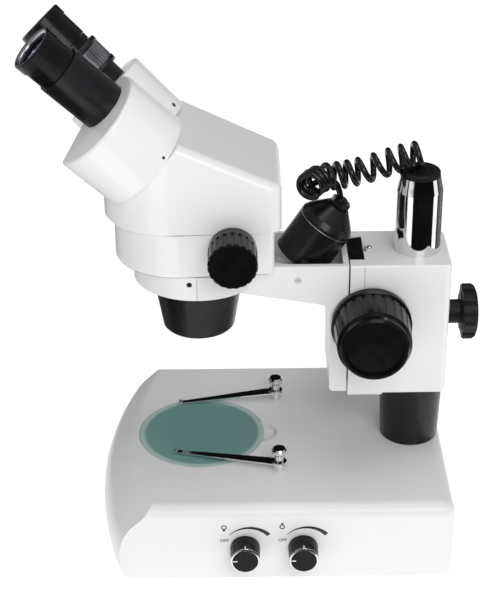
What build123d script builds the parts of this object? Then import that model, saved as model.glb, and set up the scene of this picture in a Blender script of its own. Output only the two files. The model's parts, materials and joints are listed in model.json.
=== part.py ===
from build123d import *
import math
import os

os.makedirs("parts", exist_ok=True)

# Stereo microscope on a pillar stand. Millimetres, +Z up. The origin is on the table, under the
# optical axis. +X runs from the optical axis to the pillar, and the observer sits at -X.

# ---------------------------------------------------------------- driving dimensions
WALL = 3.0
RUNNING = 0.05  # radial clearance of a shaft that turns or slides in its bore

BASE_HALF_WIDTH = 100.5
BASE_HEIGHT = 60.5
BASE_BACK = 182.0
FRONT_BOW_CENTRE = 245.0
FRONT_RADIUS = 320.0
FRONT_LEAN = 19.0
STAGE_RADIUS = 47.5
STAGE_THICKNESS = 5.0
NOTCH_RADIUS = 14.0
NOTCH_X = 43.5

PLATE_SCREWS = [(-48, -84), (-48, 84), (168, -84), (168, 84)]
KNOB_X = (31.7, 73.3)
KNOB_Z = 26.8
KNOB_RADIUS = 10.8
POST_PLACES = [(57.5, -50), (57.5, 50)]
INLET_Y = 45.0
INLET_Z = 30.0
FUSE_Y = 20.5

PILLAR_X = 157.4
PILLAR_RADIUS = 16.7
PILLAR_TOP = 273.4
PILLAR_TAPER = 11.0
PLUG_HEAD = 4.0
NIPPLE_TOP = 281.0
FOOT_TOP = 112.0

HOUSING_FRONT = 108.0
HOUSING_BACK = 179.7
HOUSING_TOP = 216.0
BLOCK_HALF_WIDTH = 28.8
SHAFT_X = 123.5
SHAFT_Z = 170.8
CLAMP_Z = 163.5

GEAR_MODULE = 0.8
PINION_TEETH = 12
PITCH_RADIUS = GEAR_MODULE * PINION_TEETH / 2
TOOTH_PITCH = math.pi * GEAR_MODULE

RING_BORE = 38.0
RING_RADIUS = 46.0
RING_BOTTOM = 199.0
RING_TOP = 217.0
ARM_BACK = 107.0
RACK_TOP = 208.0
ARM_FORM = [
    (20, 216.2), (ARM_BACK, 216.2), (ARM_BACK, 113.7), (94.5, 113.7), (94.0, 184.4), (33, 195), (20, 199),
]
ARM_CORNER = 9.0

SEAM_Z = 250.0
HEAD_RADIUS = 46.5
REVEAL = 0.4  # the fine step that marks the seams above and below the lower casting
ROD_PLACES = (-18.0, 11.5)
ZOOM_X = 25.0
ZOOM_Z = 239.0
CONE_BOTTOM = 156.6
ROOF_SLOPE = 24.8
ROOF_Z = 309.7

DRUM_RADIUS = 37.0
DRUM_LENGTH = 45.2
DRUM_CENTRE = (-67.0, -22.3, 326.1)
DRUM_RISE = 45.1
DRUM_SPREAD = 7.3
DRUM_TRAVEL = 49.0
TUBE_UP = 9.6
TUBE_IN = 4.6

LAMP_X = 93.9
LAMP_Z = 240.0
LAMP_TILT = 56.7
LAMP_RADIUS = 20.2
LAMP_BORE = 18.4
LAMP_FRONT = -36.0
LAMP_SEAM = -5.0
LAMP_PIVOT = (71.0, 205.2)
LAMP_EAR = (20.4, 23.8)

CORD_COIL_RADIUS = 10.5
CORD_ROUTE = [
    (166.0, 0.0, 289.0),
    (152.0, 0.5, 288.0),
    (138.0, 2.0, 283.0),
    (123.0, 3.0, 277.0),
    (104.0, 3.0, 272.0),
    (84.0, 1.0, 271.0),
    (78.0, -14.0, 270.0),
]


# ---------------------------------------------------------------- helpers
def block(x0, x1, y0, y1, z0, z1):
    centre = Pos((x0 + x1) / 2, (y0 + y1) / 2, (z0 + z1) / 2)
    return centre * Box(x1 - x0, y1 - y0, z1 - z0)


def zrod(radius, z0, z1, x=0.0, y=0.0):
    return Pos(x, y, (z0 + z1) / 2) * Cylinder(radius, z1 - z0)


def yrod(radius, y0, y1, x, z):
    return Pos(x, (y0 + y1) / 2, z) * Rot(90, 0, 0) * Cylinder(radius, y1 - y0)


def xrod(radius, x0, x1, y, z):
    return Pos((x0 + x1) / 2, y, z) * Rot(0, 90, 0) * Cylinder(radius, x1 - x0)


def zcone(r0, r1, z0, z1, x=0.0, y=0.0):
    return Pos(x, y, (z0 + z1) / 2) * Cone(r0, r1, z1 - z0)


def side_profile(points, y0, y1):
    """A closed outline of (x, z) points, extruded from y0 to y1."""
    face = make_face(Polyline(*[(x, y0, z) for x, z in points], close=True))
    return extrude(face, y1 - y0, dir=(0, 1, 0))


def turned(outline, plane):
    """A body of revolution about the plane's z axis, from an outline of (radius, height) points."""
    wire = Polyline(*[(r, 0, h) for r, h in outline], close=True)
    return plane.location * revolve(make_face(wire), axis=Axis.Z)


def mirrored(shape):
    return mirror(shape, about=Plane.XZ)


def save(name, shape):
    export_step(shape, f"parts/{name}.step")


def group(shapes):
    return Compound(children=list(shapes))


def on_both_sides(shape):
    return group([shape, mirrored(shape)])


# ---------------------------------------------------------------- gears
def pinion(x, z, y0, y1, phase):
    """A small spur gear about the y axis with straight-sided teeth."""
    root = PITCH_RADIUS - 1.15 * GEAR_MODULE
    tip = PITCH_RADIUS + 0.85 * GEAR_MODULE
    half_root = 0.30 * TOOTH_PITCH
    half_tip = 0.12 * TOOTH_PITCH
    gear = Cylinder(root, y1 - y0)
    tooth_outline = [(root - 0.6, -half_root), (tip, -half_tip), (tip, half_tip), (root - 0.6, half_root)]
    tooth = extrude(make_face(Polyline(*tooth_outline, close=True)), (y1 - y0) / 2, both=True)
    for number in range(PINION_TEETH):
        gear += Rot(0, 0, phase + number * 360 / PINION_TEETH) * tooth
    return Pos(x, (y0 + y1) / 2, z) * Rot(90, 0, 0) * gear


def rack(x_pitch, x_back, y_half, z0, z1, z_gap):
    """A toothed bar along z whose teeth face +X, with a gap centred at z_gap."""
    root = x_pitch - 1.05 * GEAR_MODULE
    tip = x_pitch + 0.75 * GEAR_MODULE
    bar = block(x_back, root, -y_half, y_half, z0, z1)
    count = int((z1 - z0) / TOOTH_PITCH)
    for number in range(-count, count + 1):
        z = z_gap + (number + 0.5) * TOOTH_PITCH
        if z0 + 1.2 < z < z1 - 1.2:
            outline = [(root - 0.2, z - 0.72), (tip, z - 0.32), (tip, z + 0.32), (root - 0.2, z + 0.72)]
            bar += side_profile(outline, -y_half, y_half)
    return bar


# ---------------------------------------------------------------- base
def base_form(inset, floor):
    """The base's outer form, shrunk by inset. Its front is turned about a far axis, so it is bowed."""
    top = BASE_HEIGHT - inset
    body = block(-90, BASE_BACK - inset, -BASE_HALF_WIDTH + inset, BASE_HALF_WIDTH - inset, floor, top)
    body = fillet(body.edges().filter_by(Axis.Z).group_by(Axis.X)[-1], max(8 - inset, 2))
    body = fillet(body.edges().group_by(Axis.Z)[-1].sort_by(Axis.X)[1:], max(9 - inset, 2))
    outer = FRONT_RADIUS - inset
    lean = FRONT_LEAN
    with BuildPart() as front:
        with BuildSketch(Plane.XZ):
            with BuildLine():
                Polyline((0, floor), (outer - 5, floor), (outer - 1.5, floor + 3), (outer, 12))
                Spline((outer, 12), (outer, 24), (outer - 6, 41), (outer - lean, top - 5.5), tangents=[(0, 1), (-1, 1.1)])
                Spline((outer - lean, top - 5.5), (outer - lean - 9, top), tangents=[(-1, 1.1), (-1, 0)])
                Polyline((outer - lean - 9, top), (0, top), (0, floor))
            make_face()
        revolve(axis=Axis.Z)
    return body & (Pos(FRONT_BOW_CENTRE, 0, 0) * front.part)


def base_shell():
    shell = base_form(0, 0) - base_form(WALL, -5)
    ledge = BASE_HEIGHT - STAGE_THICKNESS
    shell += zrod(STAGE_RADIUS + 5, ledge - 5, BASE_HEIGHT - WALL + 0.5)
    shell += zrod(NOTCH_RADIUS + 4, ledge - 5, BASE_HEIGHT - WALL + 0.5, NOTCH_X)
    bosses = zrod(27, 40, BASE_HEIGHT - WALL + 0.5, PILLAR_X)
    for x, y in PLATE_SCREWS:
        bosses += zrod(5, 4.2, BASE_HEIGHT - WALL + 0.5, x, y)
    shell += bosses & base_form(WALL - 0.5, 0)
    for x, y in PLATE_SCREWS:
        shell -= zrod(1.7, 4.0, 24, x, y)
    shell -= zrod(STAGE_RADIUS + 0.2, ledge, BASE_HEIGHT + 5)
    shell -= zrod(STAGE_RADIUS - 5, ledge - 10, BASE_HEIGHT)
    shell -= zrod(NOTCH_RADIUS, ledge, BASE_HEIGHT + 5, NOTCH_X)
    shell -= zrod(8, 30, 56, PILLAR_X)
    shell -= zrod(11.0, 55, BASE_HEIGHT + 5, PILLAR_X)
    for x in KNOB_X:
        shell -= yrod(3.6, -BASE_HALF_WIDTH - 5, -BASE_HALF_WIDTH + 8, x, KNOB_Z)
    for x, y in POST_PLACES:
        shell -= zrod(2.5, 50, BASE_HEIGHT + 5, x, y)
    shell -= block(BASE_BACK - 8, BASE_BACK + 5, INLET_Y - 14, INLET_Y + 14, INLET_Z - 10.5, INLET_Z + 10.5)
    shell -= xrod(6.5, BASE_BACK - 8, BASE_BACK + 5, FUSE_Y, INLET_Z)
    return shell


def base_plate():
    plate = base_form(WALL + 0.4, 2.0)
    plate = split(plate, Plane.XY.offset(4.0), keep=Keep.BOTTOM)
    for x, y in PLATE_SCREWS:
        plate -= zrod(2.2, 0, 6, x, y)
        plate -= zcone(4.3, 2.2, 1.9, 4.0, x, y)
    for number in range(9):
        plate -= block(-16 + 4 * number - 1, -16 + 4 * number + 1, -26, 26, 0, 6)
    return plate


def base_screws():
    return group(zcone(4.1, 1.6, 2.0, 3.9, x, y) + zrod(1.6, 3.8, 20, x, y) for x, y in PLATE_SCREWS)


def rubber_feet():
    places = [(-40, -68), (-40, 68), (160, -68), (160, 68)]
    return group(zrod(9, 0, 2.0, x, y) for x, y in places)


def stage_plate():
    plate = zrod(STAGE_RADIUS - 0.1, BASE_HEIGHT - STAGE_THICKNESS, BASE_HEIGHT)
    return fillet(plate.edges().group_by(Axis.Z)[-1], 0.4)


def clip_post(x, y):
    post = zrod(2.4, 51, 74, x, y)
    post += zrod(4.6, BASE_HEIGHT, 65.0, x, y)
    post += zrod(3.3, 67.6, 73.0, x, y)
    head = zcone(4.0, 5.6, 73.0, 75.0, x, y) + zrod(5.6, 75, 77, x, y) + zcone(5.6, 4.4, 77, 78.4, x, y)
    return post + head


def clip_posts():
    return group(clip_post(x, y) for x, y in POST_PLACES)


def stage_clip(x, y, tip_x, tip_y):
    """A tapered spring strip that turns about its post and dips to the stage at its tip."""
    length = math.hypot(tip_x - x, tip_y - y)
    angle = math.degrees(math.atan2(tip_y - y, tip_x - x))
    plan = Polyline((-5, -4.2), (8, -4.2), (length, -1.6), (length, 1.6), (8, 4.2), (-5, 4.2), close=True)
    blank = extrude(make_face(plan), 30)
    strip_side = [(-6, 65.2), (9, 65.2), (length - 5, 61.6), (length + 1, 61.6), (length + 1, 62.5),
                  (length - 5, 62.5), (9, 66.2), (-6, 66.2)]
    strip = side_profile(strip_side, -6, 6) & (Pos(0, 0, 50) * blank)
    strip += zrod(5.4, 65.2, 67.4)
    strip -= zrod(2.4 + RUNNING, 60, 70)
    strip += yrod(1.3, -2.0, 2.0, length, 62.1)
    return Pos(x, y, 0) * Rot(0, 0, angle) * strip


def dimmer_pot(x):
    pot = yrod(8, -94, -84, x, KNOB_Z) + yrod(4.4, -97.4, -94, x, KNOB_Z)
    return pot - yrod(3.0 + RUNNING, -100, -86, x, KNOB_Z)


def dimmer_knob(x):
    """A pointer knob with its spindle."""
    at = Plane(origin=(x, -101.2, KNOB_Z), x_dir=(1, 0, 0), z_dir=(0, -1, 0))
    grip = turned([(0, 0), (KNOB_RADIUS, 0), (KNOB_RADIUS - 0.5, 14.8), (KNOB_RADIUS - 1.5, 15.8), (0, 15.8)], at)
    for number in range(30):
        flute = Pos(KNOB_RADIUS, 0, 7.5) * Rot(0, -1.9, 0) * Cylinder(0.5, 12)
        grip -= at.location * Rot(0, 0, number * 12) * flute
    return grip + yrod(3.0, -102, -87, x, KNOB_Z)


def power_inlet():
    """A three-pin mains inlet with its recess facing back."""
    body = block(164, BASE_BACK, INLET_Y - 13.8, INLET_Y + 13.8, INLET_Z - 10.3, INLET_Z + 10.3)
    body += block(BASE_BACK, BASE_BACK + 2, INLET_Y - 16, INLET_Y + 16, INLET_Z - 12.5, INLET_Z + 12.5)
    body -= block(168, BASE_BACK + 5, INLET_Y - 12, INLET_Y + 12, INLET_Z - 8.5, INLET_Z + 8.5)
    for pin_y, pin_z in ((-7, -2.5), (7, -2.5), (0, 3.5)):
        y = INLET_Y + pin_y
        z = INLET_Z + pin_z
        body += block(167.5, 180, y - 1, y + 1, z - 2, z + 2)
    return body


def fuse_holder():
    holder = xrod(6.4, 150, BASE_BACK, FUSE_Y, INLET_Z) + xrod(8, BASE_BACK, BASE_BACK + 2.5, FUSE_Y, INLET_Z)
    return holder - block(BASE_BACK + 1, BASE_BACK + 5, FUSE_Y - 5, FUSE_Y + 5, INLET_Z - 0.8, INLET_Z + 0.8)


def lower_lamp_reflector():
    dish = zcone(14, 37, 24, 44) - zcone(12.5, 35.5, 25.5, 45.5) - zrod(9.2, 20, 30)
    return dish


def lower_lamp_bulb():
    return zrod(6.5, 22.0, 36) + Pos(0, 0, 36) * Sphere(6.5) - block(-8, 8, -8, 8, 10, 22.0)


def lower_lamp_socket():
    return zrod(9, 4.0, 22.0) + block(-16, 16, -10, 10, 4.0, 7)


def transformer():
    core = block(78, 128, 20, 70, 4.0, 40)
    return core + block(84, 122, 12, 78, 9, 35)


def control_board():
    board = block(50, 120, -76, -36, 6.0, 7.6)
    for x in (60, 78, 96):
        board += zrod(5, 7.6, 20, x, -60)
    for x, y in ((54, -72), (116, -72), (54, -40), (116, -40)):
        board += zrod(2.5, 4.0, 6.0, x, y)
    return board


# ---------------------------------------------------------------- pillar
def pillar_foot():
    foot = zcone(21.6, 23.6, BASE_HEIGHT, FOOT_TOP, PILLAR_X)
    foot = fillet(foot.edges().group_by(Axis.Z)[0], 0.8)
    return foot - zrod(PILLAR_RADIUS, BASE_HEIGHT + 6, FOOT_TOP + 5, PILLAR_X) - zrod(11, 50, 80, PILLAR_X)


def pillar():
    taper = PILLAR_TOP - PILLAR_TAPER
    post = zrod(PILLAR_RADIUS, BASE_HEIGHT + 6, taper, PILLAR_X)
    post += zcone(PILLAR_RADIUS, 14.4, taper, PILLAR_TOP, PILLAR_X)
    post += zrod(11, 56, BASE_HEIGHT + 6, PILLAR_X)
    post += zrod(7.9, 34, 56, PILLAR_X)
    post += zrod(13, 33, 40, PILLAR_X)
    return post - zrod(13.2, 240, PILLAR_TOP + 5, PILLAR_X)


def pillar_plug():
    """A rubbery plug in the pillar's top with a nipple for the cord."""
    head = PILLAR_TOP + PLUG_HEAD
    plug = zrod(13.2, 250, PILLAR_TOP, PILLAR_X) + zrod(14.2, PILLAR_TOP, head, PILLAR_X)
    plug = fillet(plug.edges().group_by(Axis.Z)[-1], 2.0)
    return plug + zrod(3.4, head - 1, NIPPLE_TOP, PILLAR_X)


def curly_cord():
    """The curly cord's outer form: one tube of the coil's outer diameter."""
    points = [Vector(*p) for p in CORD_ROUTE]
    radii = []
    for before, corner, after in zip(points, points[1:], points[2:]):
        turn = math.radians((corner - before).get_angle(after - corner))
        run = min((corner - before).length, (after - corner).length)
        radii.append(0.45 * run / math.tan(turn / 2))
    path = FilletPolyline(*points, radius=radii)
    print("cord radii", [round(r, 1) for r in radii], "length", round(path.length, 1))
    start = Plane(origin=path @ 0, z_dir=path % 0)
    tube = sweep(start * Circle(CORD_COIL_RADIUS), path=path)
    expected = math.pi * CORD_COIL_RADIUS**2 * path.length
    print("cord volume ratio", round(tube.volume / expected, 4))
    return tube


# ---------------------------------------------------------------- focus block
def focus_housing():
    body = block(HOUSING_FRONT, HOUSING_BACK, -BLOCK_HALF_WIDTH, BLOCK_HALF_WIDTH, FOOT_TOP, HOUSING_TOP)
    body = fillet(body.edges().filter_by(Axis.Z).group_by(Axis.X)[-1], 5)
    body = fillet(body.edges().group_by(Axis.Z)[-1].sort_by(Axis.X)[1:], 1.5)
    body += block(HOUSING_FRONT, 133.2, -BLOCK_HALF_WIDTH, BLOCK_HALF_WIDTH, FOOT_TOP - 1.5, FOOT_TOP)
    body -= zrod(PILLAR_RADIUS + RUNNING, 90, HOUSING_TOP + 5, PILLAR_X)
    body -= block(HOUSING_FRONT - 2, 118.5, -18.4, 18.4, 90, HOUSING_TOP + 5)
    body -= block(118, 121, -5, 5, 90, HOUSING_TOP + 5)
    body -= yrod(7, -8, 8, SHAFT_X, SHAFT_Z)
    body -= yrod(6.5, -BLOCK_HALF_WIDTH - 5, BLOCK_HALF_WIDTH + 5, SHAFT_X, SHAFT_Z)
    body -= xrod(4 + RUNNING, PILLAR_X, HOUSING_BACK + 5, 0, CLAMP_Z)
    return body


def shaft_bushes():
    bush = yrod(6.5, -BLOCK_HALF_WIDTH - 1, -19, SHAFT_X, SHAFT_Z)
    bush -= yrod(4 + RUNNING, -BLOCK_HALF_WIDTH - 5, 0, SHAFT_X, SHAFT_Z)
    return on_both_sides(bush)


def clamp_screw():
    return xrod(4, PILLAR_X + PILLAR_RADIUS + 0.1, 195, 0, CLAMP_Z)


def clamp_knob():
    """A six-lobed knob on a long hub."""
    hub = xrod(8.8, HOUSING_BACK + 0.4, 192, 0, CLAMP_Z)
    taper = Pos(192, 0, CLAMP_Z) * Rot(0, 90, 0) * Cone(13, 17, 2)
    head = xrod(17, 192, 204, 0, CLAMP_Z)
    for number in range(6):
        turn = math.radians(number * 60)
        head += xrod(5.4, 192, 204, 15 * math.cos(turn), CLAMP_Z + 15 * math.sin(turn))
    at = Plane(origin=(192, 0, CLAMP_Z), x_dir=(0, 1, 0), z_dir=(1, 0, 0))
    outline = [(0, 0), (19.4, 0), (20.4, 1.2), (20.4, 7.0), (19.0, 9.2), (15.5, 10.6), (10, 11.3), (0, 11.3)]
    rounded = turned(outline, at)
    knob = hub + taper + (head & rounded)
    return knob - xrod(4, 170, 195, 0, CLAMP_Z)


def focus_shaft():
    shaft = yrod(4, -62, 62, SHAFT_X, SHAFT_Z)
    return shaft + pinion(SHAFT_X, SHAFT_Z, -3.6, 3.6, 0)


def focus_knob():
    """The near focus knob: flange, ribbed tapered grip, rounded rim and recessed face."""
    at = Plane(origin=(SHAFT_X, -31, SHAFT_Z), x_dir=(1, 0, 0), z_dir=(0, -1, 0))
    outline = [(4, 0), (28.9, 0), (28.9, 4.5), (27.6, 5.2), (26.4, 31.0), (24.6, 33.0), (24.2, 36.8),
               (22.9, 39), (20.8, 39), (19.8, 36.2), (0, 36.2), (0, 32.5), (4, 32.5)]
    knob = turned(outline, at)
    for number in range(24):
        groove = Pos(27.6, 0, 18) * Rot(0, -2.6, 0) * Cylinder(1.3, 25)
        knob -= at.location * Rot(0, 0, number * 360 / 24) * groove
    return knob


# ---------------------------------------------------------------- arm
def arm_bracket():
    arm = side_profile(ARM_FORM, -BLOCK_HALF_WIDTH, BLOCK_HALF_WIDTH)
    across = arm.edges().filter_by(Axis.Y)
    corner = across.sort_by_distance((94.0, 0, 184.4))[0]
    foot = across.sort_by_distance((94.5, 0, 113.7))[0]
    arm = fillet(arm.edges().filter_by(Axis.Z).group_by(Axis.X)[-1], 1.0)
    arm = fillet(arm.edges().filter_by(Axis.Y).sort_by_distance(corner.center())[0], ARM_CORNER)
    arm = fillet(arm.edges().filter_by(Axis.Y).sort_by_distance(foot.center())[0], 3.0)
    arm += zrod(RING_RADIUS, RING_BOTTOM, RING_TOP)
    arm -= zrod(RING_BORE, 150, 250)
    trough = [(47.5, 199), (92, 191.5), (103, 191.5), (103, 230), (47.5, 230)]
    arm -= side_profile(trough, -24.8, 24.8)
    arm -= block(52, 78, -15, 15, 170, 220)
    arm -= yrod(2.5, -35, -20, LAMP_PIVOT[0], LAMP_PIVOT[1])
    arm -= yrod(2.5, 20, 35, LAMP_PIVOT[0], LAMP_PIVOT[1])
    arm -= yrod(2.0, -60, -30, -5.3, 211.4)
    return arm


def dovetail_slide():
    """The male slide: it widens towards the housing and carries the rack in a groove."""
    plan = Polyline((ARM_BACK, -14), (118.2, -18), (118.2, 18), (ARM_BACK, 14), close=True)
    slide = Pos(0, 0, 114.2) * extrude(make_face(plan), 102.0)
    slide -= block(113, 120, -4.3, 4.3, 100, RACK_TOP + 1)
    slide -= yrod(7, -8, 8, SHAFT_X, SHAFT_Z)
    return slide


def focus_rack():
    return rack(SHAFT_X - PITCH_RADIUS, 113, 4.2, 116, RACK_TOP, SHAFT_Z)


def head_lock_screw():
    screw = yrod(2.0, -45.2, -RING_BORE - 0.05, -5.3, 211.4)
    return screw - yrod(1.0, -50, -43.6, -5.3, 211.4)


def lamp_pivot_screws():
    screw = yrod(2.5, -28.6, -24.3, LAMP_PIVOT[0], LAMP_PIVOT[1])
    screw += yrod(1.8, -24.3, -19.6, LAMP_PIVOT[0], LAMP_PIVOT[1])
    screw -= block(68, 74, -30, -28.0, LAMP_PIVOT[1] - 0.4, LAMP_PIVOT[1] + 0.4)
    return on_both_sides(screw)


# ---------------------------------------------------------------- upper lamp
def lamp_plane(along):
    """A plane across the lamp's axis. The axis points back and up, away from the specimen."""
    tilt = math.radians(LAMP_TILT)
    axis = Vector(math.cos(tilt), 0, math.sin(tilt))
    return Plane(origin=Vector(LAMP_X, 0, LAMP_Z) + axis * along, x_dir=(0, 1, 0), z_dir=axis)


def lamp_ear():
    """The near ear that carries the lamp on its pivot, outside the barrel's side."""
    inner, outer = LAMP_EAR
    reach = (LAMP_X - LAMP_PIVOT[0]) * math.cos(math.radians(LAMP_TILT))
    reach += (LAMP_Z - LAMP_PIVOT[1]) * math.sin(math.radians(LAMP_TILT))
    root = LAMP_FRONT + 8
    middle = lamp_plane((root - reach) / 2).location
    ear = middle * Pos(-(inner + outer) / 2, 0, 0) * Box(outer - inner, 10, root + reach)
    ear += yrod(5, -outer, -inner, LAMP_PIVOT[0], LAMP_PIVOT[1])
    web = lamp_plane(LAMP_FRONT + 4).location * Pos(-(16 + inner + 0.6) / 2, 0, 0) * Box(inner - 15.4, 10, 8)
    web -= lamp_plane(LAMP_FRONT).location * Cylinder(LAMP_BORE, 60)
    return ear + web - yrod(1.8 + RUNNING, -30, -10, LAMP_PIVOT[0], LAMP_PIVOT[1])


def lamp_housing():
    outline = [(LAMP_BORE, LAMP_FRONT), (LAMP_RADIUS, LAMP_FRONT), (LAMP_RADIUS, LAMP_SEAM), (LAMP_BORE, LAMP_SEAM)]
    barrel = turned(outline, lamp_plane(0))
    return barrel + lamp_ear() + mirrored(lamp_ear())


def lamp_cap():
    outline = [(0, LAMP_SEAM - 2), (LAMP_BORE - 0.1, LAMP_SEAM - 2), (LAMP_BORE - 0.1, LAMP_SEAM),
               (LAMP_RADIUS, LAMP_SEAM), (LAMP_RADIUS, -2.5), (17.8, 1.5), (8.7, 11.5), (0, 11.5)]
    return turned(outline, lamp_plane(0)) - lamp_plane(6).location * Cylinder(2.6, 30)


def lamp_gland():
    nut = lamp_plane(11.5).location * extrude(RegularPolygon(7.5, 6), 5)
    cone = lamp_plane(17.5).location * Cone(5, 3.2, 2)
    return nut + cone - lamp_plane(14).location * Cylinder(2.1, 30)


def lamp_bulb():
    bulb = lamp_plane(-18).location * Cylinder(6, 14) + lamp_plane(-25).location * Sphere(6)
    return bulb + lamp_plane(LAMP_SEAM - 4).location * Cylinder(8, 4)


def lamp_window():
    return lamp_plane(LAMP_FRONT + 1.5).location * Cylinder(LAMP_BORE, 2)


# ---------------------------------------------------------------- head
def head_plan(inset):
    """The lower casting's plan: a round front and sides that close in towards the back."""
    r = HEAD_RADIUS - inset
    back = 54 - inset
    half = 42 - inset
    outline = Line((-12, r), (back - 4, half)) + RadiusArc((back - 4, half), (back, half - 4), 4)
    outline += Line((back, half - 4), (back, 4 - half))
    outline += RadiusArc((back, 4 - half), (back - 4, -half), 4) + Line((back - 4, -half), (-12, -r))
    outline += ThreePointArc((-12, -r), (-12 - r, 0), (-12, r))
    return make_face(outline)


def head_base():
    base = Pos(0, 0, RING_TOP) * extrude(head_plan(REVEAL), SEAM_Z - RING_TOP)
    base += Pos(0, 0, RING_TOP + 0.6) * extrude(head_plan(0), SEAM_Z - RING_TOP - 1.2)
    base -= Pos(0, 0, RING_TOP + WALL) * extrude(head_plan(WALL), SEAM_Z)
    base += zrod(RING_BORE - RUNNING, RING_BOTTOM, RING_TOP + WALL)
    base -= zrod(33, RING_BOTTOM - 5, 214)
    for y in (-17, 17):
        base -= zrod(11, 210, 225, 0, y)
    base -= yrod(3 + RUNNING, -60, 60, ZOOM_X, ZOOM_Z)
    for x in ROD_PLACES:
        base -= zrod(2, 215, 240, x)
    return base


def guide_rods():
    return group(zrod(2, 215, 282, x) for x in ROD_PLACES)


def objective_cone():
    outline = [(22.5, CONE_BOTTOM), (24.6, CONE_BOTTOM), (26.0, CONE_BOTTOM + 1.5), (33.0, RING_BOTTOM - 0.3),
               (33.0, RING_TOP - 5), (30.0, RING_TOP - 5), (30.0, RING_BOTTOM), (23.5, CONE_BOTTOM + 14),
               (23.5, CONE_BOTTOM + 8), (22.5, CONE_BOTTOM + 8)]
    return turned(outline, Plane.XY)


def objective_lens():
    lens = zrod(23.5, CONE_BOTTOM + 8, CONE_BOTTOM + 11)
    dome = Pos(0, 0, CONE_BOTTOM + 13 - 70) * Sphere(70)
    return lens + (dome & zrod(23.0, CONE_BOTTOM + 10, CONE_BOTTOM + 14))


def drum_axis():
    rise = math.radians(DRUM_RISE)
    spread = math.radians(DRUM_SPREAD)
    return Vector(-math.cos(rise) * math.cos(spread), -math.sin(spread), math.sin(rise) * math.cos(spread))


def drum_plane(along, up=0.0, inwards=0.0):
    """A plane across the near drum's axis. Its x runs up the drum's face and its y to the middle."""
    axis = drum_axis()
    across = Vector(0, 1, 0).cross(axis).normalized()
    inward = axis.cross(across)
    origin = Vector(*DRUM_CENTRE) + axis * along + across * up + inward * inwards
    return Plane(origin=origin, x_dir=across, z_dir=axis)


def head_form(inset):
    """The cover: a round-fronted block under a sloping roof, cut off square to both drums."""
    r = HEAD_RADIUS - inset
    back = 59 - inset
    front = -18.5
    outline = Line((front, r), (back, r - 3)) + Line((back, r - 3), (back, 3 - r))
    outline += Line((back, 3 - r), (front, -r)) + ThreePointArc((front, -r), (front - r, 0), (front, r))
    body = Pos(0, 0, SEAM_Z - inset) * extrude(make_face(outline), 90)
    body = fillet(body.edges().filter_by(Axis.Z).group_by(Axis.X)[-1], max(9 - inset, 3))
    slope = math.radians(ROOF_SLOPE)
    roof = Plane(origin=(0, 0, ROOF_Z - inset), x_dir=(0, 1, 0), z_dir=(math.sin(slope), 0, math.cos(slope)))
    body = split(body, roof, keep=Keep.BOTTOM)
    roof_edges = body.faces().sort_by(Axis.Z)[-1].edges()
    body = fillet(roof_edges, max(7 - inset, 3))
    for side in (-1, 1):
        cut = drum_plane(-DRUM_LENGTH - 0.3 - inset)
        normal = Vector(cut.z_dir.X, cut.z_dir.Y * -side, cut.z_dir.Z)
        origin = Vector(cut.origin.X, cut.origin.Y * -side, cut.origin.Z)
        body = split(body, Plane(origin=origin, z_dir=normal), keep=Keep.BOTTOM)
    return body


def head_cover():
    cover = head_form(0) - head_form(WALL)
    hole = drum_plane(-DRUM_LENGTH).location * Cylinder(14 + RUNNING, 30)
    return cover - hole - mirrored(hole)


def zoom_shaft():
    shaft = yrod(3, -66, 66, ZOOM_X, ZOOM_Z)
    return shaft + pinion(ZOOM_X, ZOOM_Z, -3.6, 3.6, 0)


def zoom_knob():
    """The near zoom knob: a plain collar and a deeply scalloped grip with a flat face."""
    at = Plane(origin=(ZOOM_X, -46.2, ZOOM_Z), x_dir=(1, 0, 0), z_dir=(0, -1, 0))
    outline = [(3, 0), (16.6, 0), (17.1, 8), (17.1, 25.6), (15.8, 26.8), (0, 26.8), (0, 21.5), (3, 21.5)]
    knob = turned(outline, at)
    for number in range(20):
        flute = Pos(17.6, 0, 18) * Cylinder(1.3, 19)
        knob -= at.location * Rot(0, 0, number * 18) * flute
    return knob


def zoom_carriage():
    """The lens carriage on its two rods, with the rack that the zoom pinion drives."""
    plate = block(-24, 18.5, -14, 14, 250, 254)
    for y in (-18, 18):
        plate += zrod(11, 247, 257, 0, y)
    for y in (-18, 18):
        plate -= zrod(9.2, 240, 260, 0, y)
    for x in ROD_PLACES:
        plate -= zrod(2 + RUNNING, 240, 260, x)
    rail = rack(ZOOM_X - PITCH_RADIUS, 15.5, 4, 228.6, 250, ZOOM_Z)
    return plate + rail + block(15.5, 18.5, -4, 4, 249, 251)


def zoom_lenses():
    return on_both_sides(zrod(9.2, 249.5, 254.5, 0, -18))


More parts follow.
